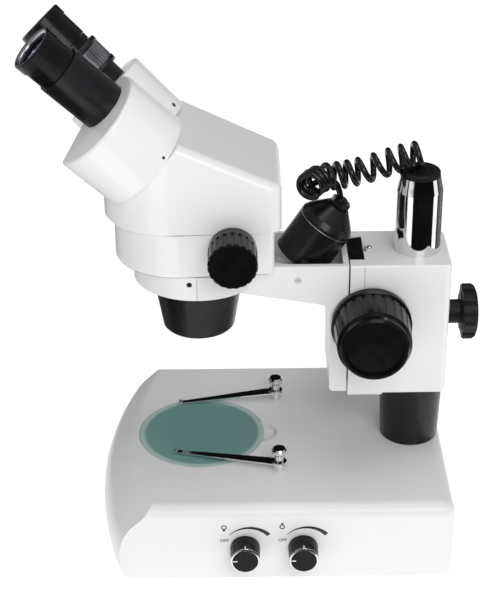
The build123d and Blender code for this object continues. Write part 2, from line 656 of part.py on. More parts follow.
# ---------------------------------------------------------------- prism housings and eyepieces
def drum_form(inset):
    """A round drum with three inner flats, so that the two drums clear each other as they turn."""
    r = DRUM_RADIUS - inset
    rounded = [(0, inset - DRUM_LENGTH), (r, inset - DRUM_LENGTH), (r, -2 - inset), (r - 0.25, -1.2 - inset),
               (r - 0.8, -0.4 - inset), (r - 1.8, -inset), (0, -inset)]
    drum = turned(rounded, drum_plane(0))
    middle = Plane(origin=(0, -0.9 - inset, 0), x_dir=(1, 0, 0), z_dir=(0, 1, 0))
    drum = split(drum, middle, keep=Keep.BOTTOM)
    centre = Vector(*DRUM_CENTRE)
    to_middle = Vector(centre.X, -0.9 - inset, centre.Z) - centre
    about = Axis((0, 0, 0), tuple(drum_axis()))
    half_normal = Vector(0, 1, 0).rotate(about, DRUM_TRAVEL / 2)
    half_point = centre + to_middle.rotate(about, DRUM_TRAVEL / 2)
    drum = split(drum, Plane(origin=half_point, z_dir=half_normal), keep=Keep.BOTTOM)
    low_angle = math.radians(DRUM_TRAVEL)
    face = drum_plane(0)
    inward = face.y_dir * math.cos(low_angle) - face.x_dir * math.sin(low_angle)
    relief = centre + inward * (14.2 - inset)
    return split(drum, Plane(origin=relief, z_dir=inward), keep=Keep.BOTTOM)


def prism_housing():
    housing = drum_form(0) - drum_form(2.6)
    housing += drum_plane(-DRUM_LENGTH - 2.5).location * Cylinder(14, 5)
    housing -= drum_plane(-DRUM_LENGTH).location * Cylinder(11, 20)
    return housing - drum_plane(-2, TUBE_UP, TUBE_IN).location * Cylinder(14.4, 12)


def prism():
    return drum_plane(-24, 5, -2.5).location * Box(26, 18, 30)


def tube_plane(along):
    return drum_plane(along, TUBE_UP, TUBE_IN)


def near_tube():
    outline = [(15.05, 0), (17.4, 0), (17.4, 41), (15.05, 41)]
    collar = [(13, -2.6), (14.4, -2.6), (14.4, 0), (17.4, 0), (17.4, 2), (15.05, 3), (13, 3)]
    return turned(outline, tube_plane(0)) + turned(collar, tube_plane(0))


def near_eyepiece():
    outline = [(12.6, 14), (15.0, 14), (15.0, 41.2), (16.0, 41.2), (16.2, 56), (16.9, 56.4), (16.9, 63.8),
               (16.2, 64.5), (14.4, 64.5), (12.6, 60.5)]
    return turned(outline, tube_plane(0))


def far_tube():
    outline = [(13, -2.6), (14.4, -2.6), (14.4, 0), (16.2, 0), (16.2, 30), (15.05, 30), (15.05, 3), (13, 3)]
    return turned(outline, tube_plane(0))


def dioptre_ring():
    outline = [(16.25, 10.3), (18.6, 10.3), (19.2, 11), (19.2, 14), (18.7, 14.4), (18.7, 28.2), (19.2, 28.6),
               (19.2, 31.4), (18.4, 32.4), (16.25, 32.4)]
    ring = turned(outline, tube_plane(0))
    for number in range(48):
        groove = Pos(19.0, 0, 21.3) * Cylinder(0.55, 13.6)
        ring -= tube_plane(0).location * Rot(0, 0, number * 7.5) * groove
    return ring


def far_eyepiece():
    outline = [(12.6, 12), (15.0, 12), (15.0, 33.3), (16.1, 33.3), (16.1, 38), (16.5, 38.5), (16.3, 56),
               (17.0, 56.4), (17.0, 63.8), (16.3, 64.5), (14.4, 64.5), (12.6, 60.5)]
    return turned(outline, tube_plane(0))


def eye_lens():
    outline = [(0, 56), (12.6, 56), (12.6, 59), (9, 60.2), (0, 60.8)]
    return turned(outline, tube_plane(0))


# ---------------------------------------------------------------- all nodes
save("base_shell", base_shell())
save("base_plate", base_plate())
save("base_screws", base_screws())
save("rubber_feet", rubber_feet())
save("stage_plate", stage_plate())
save("clip_posts", clip_posts())
save("near_stage_clip", stage_clip(57.5, -50, -18.8, -28))
save("far_stage_clip", stage_clip(57.5, 50, -17, 41))
save("dimmer_pots", group(dimmer_pot(x) for x in KNOB_X))
save("lower_light_knob", dimmer_knob(KNOB_X[0]))
save("upper_light_knob", dimmer_knob(KNOB_X[1]))
save("power_inlet", power_inlet())
save("fuse_holder", fuse_holder())
save("lower_lamp_reflector", lower_lamp_reflector())
save("lower_lamp_bulb", lower_lamp_bulb())
save("lower_lamp_socket", lower_lamp_socket())
save("transformer", transformer())
save("control_board", control_board())
save("pillar_foot", pillar_foot())
save("pillar", pillar())
save("pillar_plug", pillar_plug())
save("curly_cord", curly_cord())
save("focus_housing", focus_housing())
save("shaft_bushes", shaft_bushes())
save("clamp_screw", clamp_screw())
save("clamp_knob", clamp_knob())
save("focus_shaft", focus_shaft())
near_knob = focus_knob()
save("near_focus_knob", near_knob)
save("far_focus_knob", mirrored(near_knob))
save("arm_bracket", arm_bracket())
save("dovetail_slide", dovetail_slide())
save("focus_rack", focus_rack())
save("head_lock_screw", head_lock_screw())
save("lamp_pivot_screws", lamp_pivot_screws())
save("lamp_housing", lamp_housing())
save("lamp_cap", lamp_cap())
save("lamp_gland", lamp_gland())
save("lamp_bulb", lamp_bulb())
save("lamp_window", lamp_window())
save("head_base", head_base())
save("guide_rods", guide_rods())
save("head_cover", head_cover())
save("objective_cone", objective_cone())
save("objective_lens", objective_lens())
save("zoom_shaft", zoom_shaft())
near_zoom = zoom_knob()
save("near_zoom_knob", near_zoom)
save("far_zoom_knob", mirrored(near_zoom))
save("zoom_carriage", zoom_carriage())
save("zoom_lenses", zoom_lenses())
housing = prism_housing()
save("near_prism_housing", housing)
save("far_prism_housing", mirrored(housing))
save("near_prism", prism())
save("far_prism", mirrored(prism()))
save("near_tube", near_tube())
save("far_tube", mirrored(far_tube()))
save("far_dioptre_ring", mirrored(dioptre_ring()))
save("near_eyepiece", near_eyepiece())
save("far_eyepiece", mirrored(far_eyepiece()))
save("near_eye_lens", eye_lens())
save("far_eye_lens", mirrored(eye_lens()))
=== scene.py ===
import json
import math

import bpy
from mathutils import Matrix, Vector


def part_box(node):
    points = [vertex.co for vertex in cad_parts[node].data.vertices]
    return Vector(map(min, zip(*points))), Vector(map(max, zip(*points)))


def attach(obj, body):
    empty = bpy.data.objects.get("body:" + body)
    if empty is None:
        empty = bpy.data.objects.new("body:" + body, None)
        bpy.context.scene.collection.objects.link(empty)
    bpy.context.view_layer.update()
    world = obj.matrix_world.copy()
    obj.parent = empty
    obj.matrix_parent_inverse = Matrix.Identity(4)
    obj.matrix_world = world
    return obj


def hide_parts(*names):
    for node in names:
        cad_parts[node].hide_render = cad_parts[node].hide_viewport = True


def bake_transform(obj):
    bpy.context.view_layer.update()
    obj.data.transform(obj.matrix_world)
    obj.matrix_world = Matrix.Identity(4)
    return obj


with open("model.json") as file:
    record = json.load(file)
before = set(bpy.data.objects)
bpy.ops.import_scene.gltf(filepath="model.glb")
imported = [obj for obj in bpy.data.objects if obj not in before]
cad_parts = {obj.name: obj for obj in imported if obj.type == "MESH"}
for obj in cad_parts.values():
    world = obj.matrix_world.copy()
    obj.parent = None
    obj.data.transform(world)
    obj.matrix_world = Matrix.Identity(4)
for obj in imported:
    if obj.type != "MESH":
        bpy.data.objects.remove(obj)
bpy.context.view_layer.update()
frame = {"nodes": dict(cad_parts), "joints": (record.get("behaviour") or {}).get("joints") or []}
NODES = frame["nodes"]
JOINTS = {joint["name"]: joint for joint in frame["joints"]}

# Stereo microscope on a pillar stand. Blender works in metres. Places and sizes below are in millimetres in
# the row frame: the origin is on the table under the optical axis, +X points to the pillar, and the side
# with the light knobs is -Y. The studio's camera, lights and cards are in metres.
MM = 0.001


def corners(node):
    """A CAD node's lowest and highest corners."""
    return [Vector(corner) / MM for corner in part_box(node)]


def centre_of(node):
    low, high = corners(node)
    return (low + high) / 2


def joint_place(name):
    return Vector(JOINTS[name]["pos_m"]) / MM


# ---------------------------------------------------------------- materials
COAT_ROUGHNESS = 0.15
GLOSS_PATCHES = 2.3  # patches of gloss for each patch of colour, along a line


def node_tree(name):
    made = bpy.data.materials.new(name)
    made.use_nodes = True
    tree = made.node_tree
    return made, tree, tree.nodes["Principled BSDF"]


def noise(tree, scale, detail=3.0, stretch=(1, 1, 1)):
    """Noise fixed to the piece, from 0 to 1."""
    place = tree.nodes.new("ShaderNodeTexCoord")
    mapping = tree.nodes.new("ShaderNodeMapping")
    mapping.inputs["Scale"].default_value = stretch
    grain = tree.nodes.new("ShaderNodeTexNoise")
    grain.inputs["Scale"].default_value = scale
    grain.inputs["Detail"].default_value = detail
    grain.inputs["Roughness"].default_value = 0.5
    tree.links.new(place.outputs["Object"], mapping.inputs["Vector"])
    tree.links.new(mapping.outputs["Vector"], grain.inputs["Vector"])
    return grain.outputs["Fac"]


def ranged(tree, value, low, high, start=0.3, end=0.7):
    """A value that goes from low to high while the one given goes from start to end."""
    spread = tree.nodes.new("ShaderNodeMapRange")
    spread.inputs["From Min"].default_value = start
    spread.inputs["From Max"].default_value = end
    spread.inputs["To Min"].default_value = low
    spread.inputs["To Max"].default_value = high
    tree.links.new(value, spread.inputs["Value"])
    return spread.outputs["Result"]


def two_tone(tree, value, first, second):
    """A colour between two, by a value from 0 to 1."""
    mix = tree.nodes.new("ShaderNodeMix")
    mix.data_type = "RGBA"
    mix.inputs["A"].default_value = (*first, 1)
    mix.inputs["B"].default_value = (*second, 1)
    tree.links.new(value, mix.inputs["Factor"])
    return mix.outputs["Result"]


def bumped(tree, shader, height, strength, distance):
    bump = tree.nodes.new("ShaderNodeBump")
    bump.inputs["Strength"].default_value = strength
    bump.inputs["Distance"].default_value = distance
    tree.links.new(height, bump.inputs["Height"])
    tree.links.new(bump.outputs["Normal"], shader.inputs["Normal"])


def finish_of(name, first, second, rough, metallic=0.0, patch=40.0, grain=900.0, strength=0.15,
              relief=0.0001, coat=0.0, stretch=(1, 1, 1), rough_spread=0.06, specular=0.5):
    """A surface whose colour and gloss drift in soft patches, with a fine relief."""
    made, tree, shader = node_tree(name)
    colour = two_tone(tree, ranged(tree, noise(tree, patch, 4.0), 0, 1), first, second)
    tree.links.new(colour, shader.inputs["Base Color"])
    gloss = ranged(tree, noise(tree, patch * GLOSS_PATCHES, 5.0), rough - rough_spread, rough + rough_spread)
    tree.links.new(gloss, shader.inputs["Roughness"])
    shader.inputs["Metallic"].default_value = metallic
    shader.inputs["Specular IOR Level"].default_value = specular
    shader.inputs["Coat Weight"].default_value = coat
    shader.inputs["Coat Roughness"].default_value = COAT_ROUGHNESS
    bumped(tree, shader, noise(tree, grain, 4.0, stretch), strength, relief)
    return made


enamel = finish_of("white_enamel", (0.83, 0.83, 0.83), (0.86, 0.86, 0.86), 0.30, patch=6, grain=500,
                   strength=0.02, coat=0.25, rough_spread=0.02)
cast_enamel = finish_of("white_cast_enamel", (0.80, 0.805, 0.805), (0.84, 0.845, 0.845), 0.36, patch=6,
                        grain=420, strength=0.05, relief=0.0002, coat=0.15, rough_spread=0.02)
black_satin = finish_of("black_satin_metal", (0.004, 0.0045, 0.006), (0.007, 0.0075, 0.009), 0.30, patch=60,
                        grain=1500, strength=0.06, specular=0.34)
black_matte = finish_of("black_matte_plastic", (0.005, 0.005, 0.006), (0.009, 0.009, 0.010), 0.50, patch=80,
                        grain=1300, strength=0.35, relief=0.0002, specular=0.22)
black_gloss = finish_of("black_moulded_plastic", (0.003, 0.003, 0.004), (0.006, 0.006, 0.007), 0.22,
                        patch=70, strength=0.06, specular=0.20)
chrome = finish_of("polished_chrome", (0.78, 0.78, 0.80), (0.84, 0.84, 0.86), 0.06, metallic=1.0, patch=30,
                   grain=500, strength=0.02, rough_spread=0.03)
steel = finish_of("turned_steel", (0.46, 0.46, 0.47), (0.58, 0.58, 0.59), 0.28, metallic=1.0, patch=90,
                  grain=1200, stretch=(1, 6, 1))
grey_metal = finish_of("grey_knurled_metal", (0.10, 0.10, 0.115), (0.22, 0.22, 0.24), 0.34, metallic=0.85,
                       patch=90, grain=1200, strength=0.25, relief=0.0002)
brass = finish_of("turned_brass", (0.58, 0.43, 0.20), (0.68, 0.52, 0.26), 0.25, metallic=1.0, patch=90,
                  grain=1200, strength=0.10)
rubber = finish_of("black_rubber", (0.016, 0.016, 0.016), (0.026, 0.026, 0.026), 0.75, patch=100, grain=1100,
                   strength=0.4, relief=0.0002)
jacket = finish_of("cord_jacket", (0.003, 0.003, 0.004), (0.007, 0.007, 0.008), 0.20, patch=120,
                   strength=0.06, specular=0.40)
pale_metal = finish_of("pale_painted_metal", (0.52, 0.52, 0.52), (0.62, 0.62, 0.62), 0.35, patch=60)
dark_steel = finish_of("dark_steel", (0.05, 0.05, 0.052), (0.09, 0.09, 0.092), 0.4, metallic=0.8, patch=90,
                       grain=1200)
board_green = finish_of("board_green", (0.03, 0.12, 0.06), (0.05, 0.17, 0.08), 0.4, patch=120)
ink = finish_of("printed_ink", (0.010, 0.010, 0.012), (0.022, 0.022, 0.024), 0.45, patch=200, strength=0.05)
white_ink = finish_of("white_ink", (0.72, 0.72, 0.72), (0.80, 0.80, 0.80), 0.45, patch=200, strength=0.05)
groove_dark = finish_of("groove_shadow", (0.18, 0.18, 0.18), (0.24, 0.24, 0.24), 0.6, patch=90)


def frosted_glass():
    """Frosted plate: a deep teal middle and a paler rim over the ledge it rests on."""
    rim_start, rim_end = 42.0 * MM, 44.5 * MM
    made, tree, shader = node_tree("frosted_stage_glass")
    place = tree.nodes.new("ShaderNodeTexCoord")
    flat = tree.nodes.new("ShaderNodeVectorMath")
    flat.operation = "MULTIPLY"
    flat.inputs[1].default_value = (1, 1, 0)
    reach = tree.nodes.new("ShaderNodeVectorMath")
    reach.operation = "LENGTH"
    tree.links.new(place.outputs["Object"], flat.inputs[0])
    tree.links.new(flat.outputs["Vector"], reach.inputs[0])
    rim = ranged(tree, reach.outputs["Value"], 0, 1, rim_start, rim_end)
    middle = two_tone(tree, ranged(tree, noise(tree, 9.0, 2.0), 0, 1),
                      (0.170, 0.335, 0.315), (0.190, 0.355, 0.330))
    blend = tree.nodes.new("ShaderNodeMix")
    blend.data_type = "RGBA"
    blend.inputs["B"].default_value = (0.46, 0.60, 0.56, 1)
    tree.links.new(rim, blend.inputs["Factor"])
    tree.links.new(middle, blend.inputs["A"])
    tree.links.new(blend.outputs["Result"], shader.inputs["Base Color"])
    tree.links.new(ranged(tree, noise(tree, 60.0), 0.16, 0.26), shader.inputs["Roughness"])
    shader.inputs["IOR"].default_value = 1.5
    shader.inputs["Coat Weight"].default_value = 0.4
    shader.inputs["Coat Roughness"].default_value = 0.06
    bumped(tree, shader, noise(tree, 400.0), 0.02, 0.0001)
    return made


def clear_glass():
    """Optical glass with the blue cast of a lens coating."""
    made, tree, shader = node_tree("lens_glass")
    colour = two_tone(tree, ranged(tree, noise(tree, 60.0), 0, 1), (0.80, 0.86, 0.92), (0.88, 0.90, 0.95))
    tree.links.new(colour, shader.inputs["Base Color"])
    tree.links.new(ranged(tree, noise(tree, 90.0), 0.01, 0.05), shader.inputs["Roughness"])
    shader.inputs["Transmission Weight"].default_value = 1.0
    shader.inputs["IOR"].default_value = 1.52
    shader.inputs["Coat Weight"].default_value = 0.6
    shader.inputs["Coat Tint"].default_value = (0.7, 0.75, 1.0, 1)
    return made


stage_teal = frosted_glass()
glass = clear_glass()

PAINT = {
    cast_enamel: ["base_shell", "arm_bracket", "focus_housing"],
    enamel: ["head_base", "head_cover", "near_prism_housing", "far_prism_housing"],
    black_satin: ["pillar_foot", "dovetail_slide", "objective_cone", "near_tube", "far_tube", "lamp_housing",
                  "lamp_cap", "base_plate"],
    pale_metal: ["lamp_pivot_screws"],
    dark_steel: ["head_lock_screw"],
    black_gloss: ["near_focus_knob", "far_focus_knob", "lower_light_knob", "upper_light_knob",
                  "near_eyepiece", "far_eyepiece", "lamp_gland", "near_zoom_knob", "far_zoom_knob"],
    black_matte: ["clamp_knob", "power_inlet", "fuse_holder", "pillar_plug", "lower_lamp_socket"],
    chrome: ["pillar", "clip_posts", "near_stage_clip", "far_stage_clip", "lower_lamp_reflector"],
    steel: ["base_screws", "dimmer_pots", "clamp_screw", "focus_shaft", "guide_rods", "zoom_shaft",
            "transformer"],
    grey_metal: ["far_dioptre_ring", "zoom_carriage"],
    brass: ["shaft_bushes", "focus_rack"],
    rubber: ["rubber_feet"],
    jacket: ["curly_cord"],
    board_green: ["control_board"],
    stage_teal: ["stage_plate"],
    glass: ["objective_lens", "lamp_bulb", "lamp_window", "lower_lamp_bulb", "zoom_lenses", "near_prism",
            "far_prism", "near_eye_lens", "far_eye_lens"],
}
for paint, names in PAINT.items():
    for name in names:
        NODES[name].data.materials.clear()
        NODES[name].data.materials.append(paint)


# ---------------------------------------------------------------- mesh helpers
QUAD = [(0, 1, 2, 3)]


def piece(name, verts, faces, paint, body=None, smooth=True):
    """A mesh that rides on a CAD body."""
    mesh = bpy.data.meshes.new(name)
    mesh.from_pydata([[c * MM for c in v] for v in verts], [], faces)
    mesh.materials.append(paint)
    for face in mesh.polygons:
        face.use_smooth = smooth
    mesh.validate()
    made = bpy.data.objects.new(name, mesh)
    bpy.context.scene.collection.objects.link(made)
    if body:
        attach(made, body)
    return made


def tube_mesh(name, line, radius, paint, sides=14):
    """A closed tube round a line of points, with its cross-section carried along without twisting."""
    tangents = []
    for i in range(len(line)):
        before = line[max(i - 1, 0)]
        after = line[min(i + 1, len(line) - 1)]
        tangents.append((after - before).normalized())
    across = tangents[0].orthogonal().normalized()
    verts, faces = [], []
    for i, (point, tangent) in enumerate(zip(line, tangents)):
        across = (across - tangent * across.dot(tangent)).normalized()
        up = tangent.cross(across)
        for k in range(sides):
            turn = 2 * math.pi * k / sides
            verts.append(point + (across * math.cos(turn) + up * math.sin(turn)) * radius)
        if i:
            for k in range(sides):
                a, b = (i - 1) * sides + k, (i - 1) * sides + (k + 1) % sides
                faces.append((a, b, b + sides, a + sides))
    faces.append(tuple(range(sides))[::-1])
    faces.append(tuple(range((len(line) - 1) * sides, len(line) * sides)))
    return piece(name, verts, faces, paint)


def patch(name, x0, x1, z0, z1, y, paint, body):
    """An upright rectangle that faces -Y."""
    return piece(name, [(x0, y, z0), (x1, y, z0), (x1, y, z1), (x0, y, z1)], QUAD, paint, body, smooth=False)


def lathe(name, origin, axis, outline, paint, body, steps=72):
    """A band turned about an axis from a closed outline of (radius, along) points."""
    axis = Vector(axis).normalized()
    across = axis.orthogonal().normalized()
    up = axis.cross(across)
    verts, faces = [], []
    count = len(outline)
    for i in range(steps):
        turn = 2 * math.pi * i / steps
        spoke = across * math.cos(turn) + up * math.sin(turn)
        for radius, along in outline:
            verts.append(Vector(origin) + axis * along + spoke * radius)
        for k in range(count):
            a, b = i * count + k, i * count + (k + 1) % count
            c, d = ((i + 1) % steps) * count + (k + 1) % count, ((i + 1) % steps) * count + k
            faces.append((a, b, c, d))
    return piece(name, verts, faces, paint, body)


def button(name, origin, axis, radius, height, paint, body, sunk=0.3):
    """A small domed disc standing on a surface and sunk a little into it."""
    core = 0.01
    outline = [(core, -sunk), (radius, -sunk), (radius, height * 0.7), (radius * 0.7, height), (core, height)]
    return lathe(name, origin, axis, outline, paint, body, steps=24)


# ---------------------------------------------------------------- curly cord
CORD_ROUTE = [
    (166.0, 0.0, 289.0),
    (152.0, 0.5, 288.0),
    (138.0, 2.0, 283.0),
    (123.0, 3.0, 277.0),
    (104.0, 3.0, 272.0),
    (84.0, 1.0, 271.0),
    (78.0, -14.0, 270.0),
]
CORD_START = [
    (157.4, 0, 275),
    (157.4, -0.2, 279),
    (157.3, -2.2, 281.8),
]
CORD_END = [
    (80.5, -3.0, 266.0),
    (86, 1.0, 268.0),
    (92.5, 2.2, 268.3),
    (98.0, 1.0, 266.6),
    (100.4, 0.3, 262),
    (101.5, 0, 257),
    (102.6, 0, 253.4),
    (103.1, 0, 250.5),
]
CORD_DIAMETER = 4.4
COIL_RADIUS = 8.2
COIL_START_X = 157.0
COIL_START_TURN = -0.36
COIL_TOPS = (154.0, 145.6, 137.4, 127.4, 116.0, 107.7, 100.0, 92.5, 86.0)
COIL_END_SHARE = 0.985
END_RINGS = 2.6  # turns packed at the lamp's end, past the last top
SPLIT_X = 132.0  # where the pillar's half of the cord meets the lamp's half


def route_points():
    """Points read along the route's smooth line."""
    curve = bpy.data.curves.new("cord_route", "CURVE")
    curve.dimensions = "3D"
    curve.resolution_u = 24
    spline = curve.splines.new("NURBS")
    spline.points.add(len(CORD_ROUTE) - 1)
    for point, place in zip(spline.points, CORD_ROUTE):
        point.co = (*[c * MM for c in place], 1)
    spline.order_u = 3
    spline.use_endpoint_u = True
    holder = bpy.data.objects.new("cord_route", curve)
    mesh = bpy.data.meshes.new_from_object(holder)
    line = [v.co / MM for v in mesh.vertices]
    bpy.data.meshes.remove(mesh)
    bpy.data.objects.remove(holder)
    bpy.data.curves.remove(curve)
    return line


def length_of(line):
    return sum((b - a).length for a, b in zip(line, line[1:]))


def share_at_x(line, x):
    """The share of a line's length at which it first passes an x."""
    gone = 0.0
    for a, b in zip(line, line[1:]):
        if b.x <= x:
            return (gone + (b - a).length * (a.x - x) / (a.x - b.x)) / length_of(line)
        gone += (b - a).length
    return 1.0


def at_share(line, lengths, share):
    """The point and direction at a share of a line's length."""
    want = share * lengths[-1]
    i = 1
    while i < len(line) - 1 and lengths[i] < want:
        i += 1
    t = (want - lengths[i - 1]) / (lengths[i] - lengths[i - 1])
    return line[i - 1].lerp(line[i], t), (line[i] - line[i - 1]).normalized()


def helix(line, turns, steps=36):
    """The coil's centreline. turns gives (share of the route, turns so far), in order."""
    lengths = [0.0]
    for a, b in zip(line, line[1:]):
        lengths.append(lengths[-1] + (b - a).length)
    total = turns[-1][1] - turns[0][1]
    count = int(total * steps)
    made = []
    for n in range(count + 1):
        turned = turns[0][1] + total * n / count
        k = 1
        while k < len(turns) - 1 and turns[k][1] < turned:
            k += 1
        (s0, t0), (s1, t1) = turns[k - 1], turns[k]
        share = s0 + (s1 - s0) * (turned - t0) / (t1 - t0)
        point, along = at_share(line, lengths, share)
        side = Vector((0, 1, 0))
        side = (side - along * side.dot(along)).normalized()
        up = side.cross(along)
        if up.z < 0:
            up = -up
        angle = 2 * math.pi * turned
        made.append(point + (up * math.cos(angle) + side * math.sin(angle)) * COIL_RADIUS)
    return made


def eased(points, step=0.8):
    """A smooth line through a few points, with a point about every step."""
    made = []
    count = len(points)
    for i in range(count - 1):
        p0, p1 = points[max(i - 1, 0)], points[i]
        p2, p3 = points[i + 1], points[min(i + 2, count - 1)]
        parts = max(2, int((p2 - p1).length / step))
        for k in range(parts):
            t = k / parts
            made.append(0.5 * ((2 * p1) + (p2 - p0) * t + (2 * p0 - 5 * p1 + 4 * p2 - p3) * t * t
                               + (3 * p1 - p0 - 3 * p2 + p3) * t ** 3))
    made.append(points[-1])
    return made


route = route_points()
turns = [(share_at_x(route, COIL_START_X), COIL_START_TURN)]
turns += [(share_at_x(route, x), number) for number, x in enumerate(COIL_TOPS)]
turns.append((COIL_END_SHARE, len(COIL_TOPS) - 1 + END_RINGS))
coil = helix(route, turns)
entry = eased([Vector(place) for place in CORD_START] + [coil[0], coil[3]])
tail = eased([coil[-4], coil[-1]] + [Vector(place) for place in CORD_END])
whole = entry[:-2] + coil[3:-4] + tail

split = next(i for i, point in enumerate(whole) if point.x < SPLIT_X)
tail_start = len(whole) - len(tail)
near_line = whole[:split + 1]
far_line = whole[split:tail_start + 1]
end_line = whole[tail_start:]
near_cord = tube_mesh("cord_pillar_half", near_line, CORD_DIAMETER / 2, jacket)
far_cord = tube_mesh("cord_lamp_half", far_line, CORD_DIAMETER / 2, jacket)
end_cord = tube_mesh("cord_tail", end_line, CORD_DIAMETER / 2, jacket)
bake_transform(near_cord)
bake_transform(far_cord)
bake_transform(end_cord)
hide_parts("curly_cord")


# ---------------------------------------------------------------- printed marks on the base
PRINT_LIFT = 0.06  # how far flat marks stand in front of the surface that they are printed on
PRINT_Y = corners("base_shell")[0].y - PRINT_LIFT
ICON_OFFSET = -15.0
ICON_Z = 44.6
WORD_Z = 32.0


def arc_scale(name, centre_x, centre_z, radius, start, end, thin, thick):
    """A tapering arc above a light knob, its angles measured from +X."""
    verts, faces = [], []
    steps = 40
    for i in range(steps + 1):
        t = i / steps
        turn = math.radians(start + (end - start) * t)
        half = (thin + (thick - thin) * t) / 2
        for r in (radius - half, radius + half):
            verts.append((centre_x + r * math.cos(turn), PRINT_Y, centre_z + r * math.sin(turn)))
        if i:
            a = 2 * i
            faces.append((a - 2, a - 1, a + 1, a))
    return piece(name, verts, faces, ink, "stand", smooth=False)


def ring_outline(name, centre_x, centre_z, radius, line_width):
    """A printed circle."""
    verts, faces = [], []
    steps = 28
    for i in range(steps):
        turn = 2 * math.pi * i / steps
        for r in (radius - line_width / 2, radius + line_width / 2):
            verts.append((centre_x + r * math.cos(turn), PRINT_Y, centre_z + r * math.sin(turn)))
        a, b = 2 * i, 2 * ((i + 1) % steps)
        faces.append((a, a + 1, b + 1, b))
    return piece(name, verts, faces, ink, "stand", smooth=False)


def off_word(label, x):
    """The word OFF, printed below the bulb sign."""
    writing = bpy.data.curves.new(f"{label}_off_word", "FONT")
    writing.body = "OFF"
    writing.size = 3.6 * MM
    writing.offset = 0.05 * MM
    writing.align_x = "CENTER"
    holder = bpy.data.objects.new(f"{label}_off_source", writing)
    word_mesh = bpy.data.meshes.new_from_object(holder)
    bpy.data.objects.remove(holder)
    word = bpy.data.objects.new(f"{label}_off_mark", word_mesh)
    word_mesh.materials.clear()
    word_mesh.materials.append(ink)
    bpy.context.scene.collection.objects.link(word)
    upright = Matrix.Rotation(math.pi / 2, 4, "X")
    word.matrix_world = Matrix.Translation(Vector((x, PRINT_Y, WORD_Z)) * MM) @ upright
    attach(word, "stand")


for label, scale_offset, up in (("lower", 2.9, 1), ("upper", 2.6, -1)):
    knob_x = centre_of(f"{label}_light_knob").x
    icon_x = knob_x + ICON_OFFSET
    arc_scale(f"{label}_light_scale", knob_x + scale_offset, 25.0, 19.0, 138, 42, 0.35, 3.2)
    ring_outline(f"{label}_bulb_icon", icon_x, ICON_Z, 1.6, 0.8)
    patch(f"{label}_bulb_base", icon_x - 0.8, icon_x + 0.8, ICON_Z - up * 3.4, ICON_Z - up * 1.9, PRINT_Y,
          ink, "stand")
    off_word(label, icon_x + 0.2)


# ---------------------------------------------------------------- light knobs
RIM_OUTLINE = [(9.1, -0.05), (9.3, 0.02), (10.2, -0.85), (10.35, -1.5), (10.0, -1.5)]

for label in ("lower", "upper"):
    knob_body = f"{label}_light_knob"
    knob = centre_of(knob_body)
    face_y = corners(knob_body)[0].y
    lathe(f"{label}_knob_rim", (knob.x, face_y, knob.z), (0, -1, 0), RIM_OUTLINE, chrome, knob_body)
    patch(f"{label}_knob_pointer", knob.x - 9.0, knob.x - 5.6, knob.z - 0.5, knob.z + 0.5, face_y - 0.02,
          white_ink, knob_body)
    tick_front, tick_back = (face_y + 1.0, knob.z + 10.6), (face_y + 3.8, knob.z + 10.7)
    piece(f"{label}_knob_tick", [(knob.x - 0.5, *tick_front), (knob.x + 0.5, *tick_front),
                                 (knob.x + 0.4, *tick_back), (knob.x - 0.4, *tick_back)],
          QUAD, white_ink, knob_body, smooth=False)


# ---------------------------------------------------------------- eyepieces and dioptre ring
def tube_line(side):
    """Where an eyepiece tube's axis starts and the way it points. The near tube mirrors the far one."""
    x, y, z = joint_place("dioptre_turn")
    return (x, y if side == "far" else -y, z), JOINTS[f"{side}_eyepiece_slide"]["axis"]


CONE_OUTLINE = [(14.35, 64.52), (12.62, 60.7), (12.55, 60.7), (14.28, 64.56)]
EYE_RIM_OUTLINE = [(14.4, 64.5), (14.45, 64.62), (15.9, 64.62), (16.3, 64.2), (15.9, 64.4)]
FLANGE_INNER, FLANGE_OUTER = 18.5, 19.26

for side in ("near", "far"):
    lathe(f"{side}_eyepiece_cone", *tube_line(side), CONE_OUTLINE, steel, f"{side}_eyepiece")
    lathe(f"{side}_eyepiece_rim", *tube_line(side), EYE_RIM_OUTLINE, dark_steel, f"{side}_eyepiece")
for end, low, high in (("lower", 10.4, 14.1), ("upper", 28.5, 32.0)):
    flange = [(FLANGE_INNER, low), (FLANGE_OUTER, low), (FLANGE_OUTER, high), (FLANGE_INNER, high)]
    lathe(f"dioptre_{end}_flange", *tube_line("far"), flange, black_satin, "far_dioptre")


# ---------------------------------------------------------------- lamp, housing and ring
LAMP_CENTRE = (93.9, 0, 240.0)
LAMP_SLANT = math.radians(56.7)
SEAM_RING_OUTLINE = [(20.0, -5.35), (20.26, -5.3), (20.26, -4.9), (20.0, -4.85)]
HOUSING_SCREW_X = 123.2

lathe("lamp_seam_ring", LAMP_CENTRE, (math.cos(LAMP_SLANT), 0, math.sin(LAMP_SLANT)), SEAM_RING_OUTLINE,
      steel, "upper_lamp")

housing_low, housing_high = corners("focus_housing")
slide_back = corners("dovetail_slide")[1].x
button("housing_top_screw", (HOUSING_SCREW_X, 0, housing_high.z), (0, 0, 1), 2.0, 1.5, chrome,
       "focus_housing", sunk=1.0)
patch("housing_gib_line", slide_back - 0.3, slide_back, 196.5, 215.2, housing_low.y - PRINT_LIFT,
      groove_dark, "focus_housing")

casting_low, casting_high = corners("head_base")
arm_low, arm_high = corners("arm_bracket")
patch("ring_split_line", -0.15, 0.15, casting_low.z + 0.6, arm_high.z - 0.6, arm_low.y - PRINT_LIFT,
      groove_dark, "arm")


# ---------------------------------------------------------------- head
SEAM_INSET = 0.34
SEAM_HEIGHT = 0.5
CASTING_ROUND_X = -12.0  # the centre of the casting's round front
CASTING_BACK_HALF = 42.0


